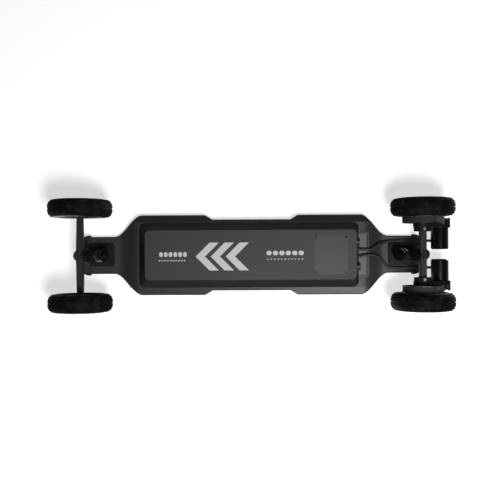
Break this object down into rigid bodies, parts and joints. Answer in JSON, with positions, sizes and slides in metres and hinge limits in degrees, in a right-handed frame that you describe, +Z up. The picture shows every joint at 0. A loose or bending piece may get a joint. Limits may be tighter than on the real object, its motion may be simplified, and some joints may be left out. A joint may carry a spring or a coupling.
{
  "type": "electric skateboard",
  "caption": "Electric skateboard with a carbon deck, air tyres, double-kingpin trucks that steer by leaning, and a belt-driven motor on each rear wheel.",
  "frame": {"origin": "on the ground under the middle of the board, midway between the axles and the two sides", "axes": "+X to the nose, +Y to the rider's left, +Z up; the wheels stand on z = 0"},
  "size_m": [1.1051, 0.3056, 0.1943],
  "materials": {
    "carbon": "woven carbon with a satin lacquer",
    "grip": "coarse black grit",
    "bumper_rubber": "matt moulded rubber",
    "black_steel": "black oxide",
    "belly_shell": "moulded composite with a twill face",
    "cover_plate": "fine grained plate",
    "cell_wrap": "shrink wrapped cells",
    "circuit": "lacquered board",
    "heatsink": "cast and finned",
    "bright_metal": "machined",
    "black_plastic": "moulded",
    "lead_sleeve": "soft sleeve",
    "truck_alloy": "black anodised, satin",
    "arm_alloy": "black anodised, satin",
    "urethane": "cast urethane",
    "tyre_rubber": "knobbed rubber",
    "rim_plastic": "glass filled",
    "bearing_steel": "polished races",
    "pulley_alloy": "dark anodised",
    "belt_rubber": "toothed belt",
    "can_alloy": "gloss black anodised"
  },
  "bodies": {
    "board": {"deck": "carbon", "grip_tape": "grip", "end_bumpers": "bumper_rubber", "riser_pads": "bumper_rubber", "truck_bolts": "black_steel", "belly_cover": "belly_shell", "access_cover": "cover_plate", "access_screws": "black_steel", "battery_cells": "cell_wrap", "battery_board": "circuit", "controller": "heatsink", "button_bezel": "bright_metal", "charge_socket": "black_plastic", "left_lead": "lead_sleeve", "right_lead": "lead_sleeve", "front_baseplate": "arm_alloy", "rear_baseplate": "arm_alloy", "front_inner_kingpin": "black_steel", "rear_inner_kingpin": "black_steel"},
    "power_button": {"power_button": "bright_metal"},
    "charge_cap": {"charge_cap": "bumper_rubber"},
    "front_arm": {"front_arm": "arm_alloy", "front_inner_bushings": "urethane", "front_outer_kingpin": "black_steel"},
    "rear_arm": {"rear_arm": "arm_alloy", "rear_inner_bushings": "urethane", "rear_outer_kingpin": "black_steel"},
    "front_hanger": {"front_hanger": "truck_alloy", "front_outer_bushings": "urethane", "front_axle": "bright_metal", "front_axle_nuts": "bright_metal"},
    "rear_hanger": {"rear_hanger": "truck_alloy", "rear_outer_bushings": "urethane", "rear_axle": "bright_metal", "rear_axle_nuts": "bright_metal", "left_belt": "belt_rubber", "right_belt": "belt_rubber", "left_motor_can": "can_alloy", "right_motor_can": "can_alloy", "left_motor_mount": "arm_alloy", "right_motor_mount": "arm_alloy", "mount_screws": "bright_metal", "left_flex_lead": "lead_sleeve", "right_flex_lead": "lead_sleeve"},
    "front_left_wheel": {"front_left_tyre": "tyre_rubber", "front_left_rim": "rim_plastic", "front_left_bearings": "bearing_steel"},
    "front_right_wheel": {"front_right_tyre": "tyre_rubber", "front_right_rim": "rim_plastic", "front_right_bearings": "bearing_steel"},
    "rear_left_wheel": {"rear_left_tyre": "tyre_rubber", "rear_left_rim": "rim_plastic", "rear_left_bearings": "bearing_steel", "left_drive_pulley": "pulley_alloy"},
    "rear_right_wheel": {"rear_right_tyre": "tyre_rubber", "rear_right_rim": "rim_plastic", "rear_right_bearings": "bearing_steel", "right_drive_pulley": "pulley_alloy"},
    "left_rotor": {"left_motor_rotor": "bearing_steel"},
    "right_rotor": {"right_motor_rotor": "bearing_steel"}
  },
  "joints": [
    {"name": "front_arm_steer", "type": "hinge", "parent": "board", "child": "front_arm", "pos_m": [0.421, 0, 0.137], "axis": [0.6157, 0, 0.788], "range_deg": [-12, 12], "stiffness_Nm_per_rad": 90, "deforming": ["front_inner_bushings"]},
    {"name": "front_hanger_steer", "type": "hinge", "parent": "front_arm", "child": "front_hanger", "pos_m": [0.45648, 0, 0.09479], "axis": [0.6157, 0, 0.788], "range_deg": [-12, 12], "stiffness_Nm_per_rad": 90, "deforming": ["front_outer_bushings"]},
    {"name": "rear_arm_steer", "type": "hinge", "parent": "board", "child": "rear_arm", "pos_m": [-0.421, 0, 0.137], "axis": [-0.6157, 0, 0.788], "range_deg": [-12, 12], "stiffness_Nm_per_rad": 90, "deforming": ["rear_inner_bushings"]},
    {"name": "rear_hanger_steer", "type": "hinge", "parent": "rear_arm", "child": "rear_hanger", "pos_m": [-0.45648, 0, 0.09479], "axis": [-0.6157, 0, 0.788], "range_deg": [-12, 12], "stiffness_Nm_per_rad": 90, "deforming": ["rear_outer_bushings", "left_flex_lead", "right_flex_lead"]},
    {"name": "front_left_wheel_spin", "type": "hinge", "parent": "front_hanger", "child": "front_left_wheel", "pos_m": [0.465, 0.128, 0.0875], "axis": [0, 1, 0], "continuous": true},
    {"name": "front_right_wheel_spin", "type": "hinge", "parent": "front_hanger", "child": "front_right_wheel", "pos_m": [0.465, -0.128, 0.0875], "axis": [0, 1, 0], "continuous": true},
    {"name": "rear_left_wheel_spin", "type": "hinge", "parent": "rear_hanger", "child": "rear_left_wheel", "pos_m": [-0.465, 0.128, 0.0875], "axis": [0, 1, 0], "continuous": true},
    {"name": "rear_right_wheel_spin", "type": "hinge", "parent": "rear_hanger", "child": "rear_right_wheel", "pos_m": [-0.465, -0.128, 0.0875], "axis": [0, 1, 0], "continuous": true},
    {"name": "left_motor_spin", "type": "hinge", "parent": "rear_hanger", "child": "left_rotor", "pos_m": [-0.5236, 0.044, 0.1348], "axis": [0, 1, 0], "continuous": true},
    {"name": "right_motor_spin", "type": "hinge", "parent": "rear_hanger", "child": "right_rotor", "pos_m": [-0.5236, -0.044, 0.1348], "axis": [0, 1, 0], "continuous": true},
    {"name": "power_button_press", "type": "slide", "parent": "board", "child": "power_button", "axis": [1, 0, 0], "range_m": [0, 0.0015], "stiffness_N_per_m": 400},
    {"name": "charge_cap_swing", "type": "hinge", "parent": "board", "child": "charge_cap", "pos_m": [-0.30471, -0.044, 0.156], "axis": [0, 0, 1], "range_deg": [0, 110]}
  ],
  "couplings": [
    {"joint": "left_motor_spin", "follows": "rear_left_wheel_spin", "ratio": 4.4},
    {"joint": "right_motor_spin", "follows": "rear_right_wheel_spin", "ratio": 4.4}
  ]
}
